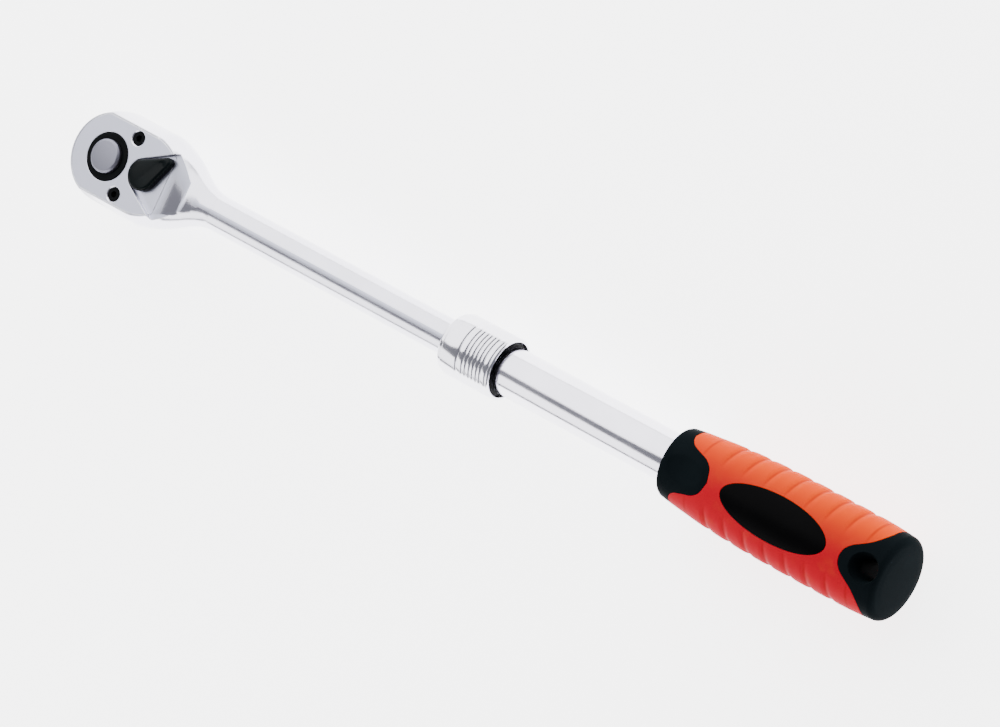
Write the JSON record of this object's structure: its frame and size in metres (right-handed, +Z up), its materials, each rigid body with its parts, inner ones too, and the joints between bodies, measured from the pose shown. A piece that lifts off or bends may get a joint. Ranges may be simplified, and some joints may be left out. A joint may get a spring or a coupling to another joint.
{
  "type": "extendable ratchet wrench",
  "caption": "Telescoping reversible ratchet wrench: pear-shaped head with square drive, flip lever and release button, lock collar on a plated tube, two-tone grip.",
  "frame": {"origin": "where the drive square's centre line crosses the socket seat", "axes": "+X along the wrench from the drive towards the grip, +Z up through the lever face, -Z the way the drive square points"},
  "size_m": [0.459, 0.043, 0.0452],
  "materials": {
    "satin_chrome": "satin chrome plate",
    "satin_steel": "fine turned and brushed",
    "bearing_steel": "ground and polished",
    "spring_steel": "drawn wire",
    "black_oxide": "black oxide, oiled",
    "black_lever": "smooth semi-gloss black",
    "nylon": "natural nylon",
    "core_plastic": "moulded",
    "orange_grip": "satin moulded elastomer",
    "black_rubber": "satin moulded rubber",
    "black_pad": "smooth moulded rubber"
  },
  "bodies": {
    "head": {"head_and_shank": "satin_chrome", "cover_plate": "satin_chrome", "cover_screws": "black_oxide", "shank_stop": "nylon", "stop_screw": "black_oxide"},
    "drive": {"drive_gear": "black_oxide", "release_spring": "spring_steel"},
    "button": {"release_button": "satin_steel"},
    "retainer": {"retaining_ball": "bearing_steel"},
    "lever": {"reversing_lever": "black_lever", "lever_spring": "spring_steel", "lever_clip": "spring_steel"},
    "plunger": {"lever_plunger": "bearing_steel"},
    "pawl": {"pawl": "satin_steel"},
    "handle": {"lock_body": "satin_steel", "guide_pin": "bearing_steel", "guide_o_ring": "black_rubber", "outer_tube": "satin_chrome", "retaining_ring": "black_oxide", "collar_spring": "spring_steel", "grip_core": "core_plastic", "grip_shell": "orange_grip", "grip_nose": "black_rubber", "palm_pad_top": "black_pad", "palm_pad_bottom": "black_pad", "end_cap": "black_rubber"},
    "collar": {"lock_collar": "satin_chrome", "collar_nose": "satin_chrome"},
    "lock_ball_top": {"lock_ball_1": "bearing_steel"},
    "lock_ball_left": {"lock_ball_2": "bearing_steel"},
    "lock_ball_right": {"lock_ball_3": "bearing_steel"}
  },
  "joints": [
    {"name": "drive_spin", "type": "hinge", "parent": "head", "child": "drive", "pos_m": [0, 0, 0.0115], "axis": [0, 0, 1], "continuous": true},
    {"name": "button_press", "type": "slide", "parent": "drive", "child": "button", "axis": [0, 0, -1], "range_m": [0, 0.0025], "stiffness_N_per_m": 1200, "springref_m": -0.001, "deforming": ["release_spring"]},
    {"name": "retainer_slide", "type": "slide", "parent": "drive", "child": "retainer", "axis": [1, 0, 0], "range_m": [0, 0.0009]},
    {"name": "lever_flip", "type": "hinge", "parent": "head", "child": "lever", "pos_m": [0.0208, 0, 0.0115], "axis": [0, 0, 1], "range_deg": [-92, 0]},
    {"name": "pawl_rock", "type": "hinge", "parent": "head", "child": "pawl", "pos_m": [0.0208, 0, 0.0115], "axis": [0, 0, 1], "range_deg": [-5.8, 0]},
    {"name": "plunger_slide", "type": "slide", "parent": "lever", "child": "plunger", "axis": [0.6947, 0.7193, 0], "range_m": [-0.0006, 0], "stiffness_N_per_m": 700, "springref_m": 0.001},
    {"name": "handle_extend", "type": "slide", "parent": "head", "child": "handle", "axis": [1, 0, 0], "range_m": [0, 0.1524]},
    {"name": "collar_pull", "type": "slide", "parent": "handle", "child": "collar", "axis": [1, 0, 0], "range_m": [0, 0.005], "stiffness_N_per_m": 1500, "springref_m": -0.004, "deforming": ["collar_spring"]},
    {"name": "lock_ball_top_slide", "type": "slide", "parent": "handle", "child": "lock_ball_top", "axis": [0, 0, 1], "range_m": [0, 0.0012]},
    {"name": "lock_ball_left_slide", "type": "slide", "parent": "handle", "child": "lock_ball_left", "axis": [0, -0.866, -0.5], "range_m": [0, 0.0012]},
    {"name": "lock_ball_right_slide", "type": "slide", "parent": "handle", "child": "lock_ball_right", "axis": [0, 0.866, -0.5], "range_m": [0, 0.0012]}
  ],
  "couplings": [
    {"joint": "retainer_slide", "follows": "button_press", "ratio": 0.36},
    {"joint": "pawl_rock", "follows": "lever_flip", "ratio": 0.063043},
    {"joint": "lock_ball_top_slide", "follows": "collar_pull", "ratio": 0.24},
    {"joint": "lock_ball_left_slide", "follows": "collar_pull", "ratio": 0.24},
    {"joint": "lock_ball_right_slide", "follows": "collar_pull", "ratio": 0.24}
  ]
}
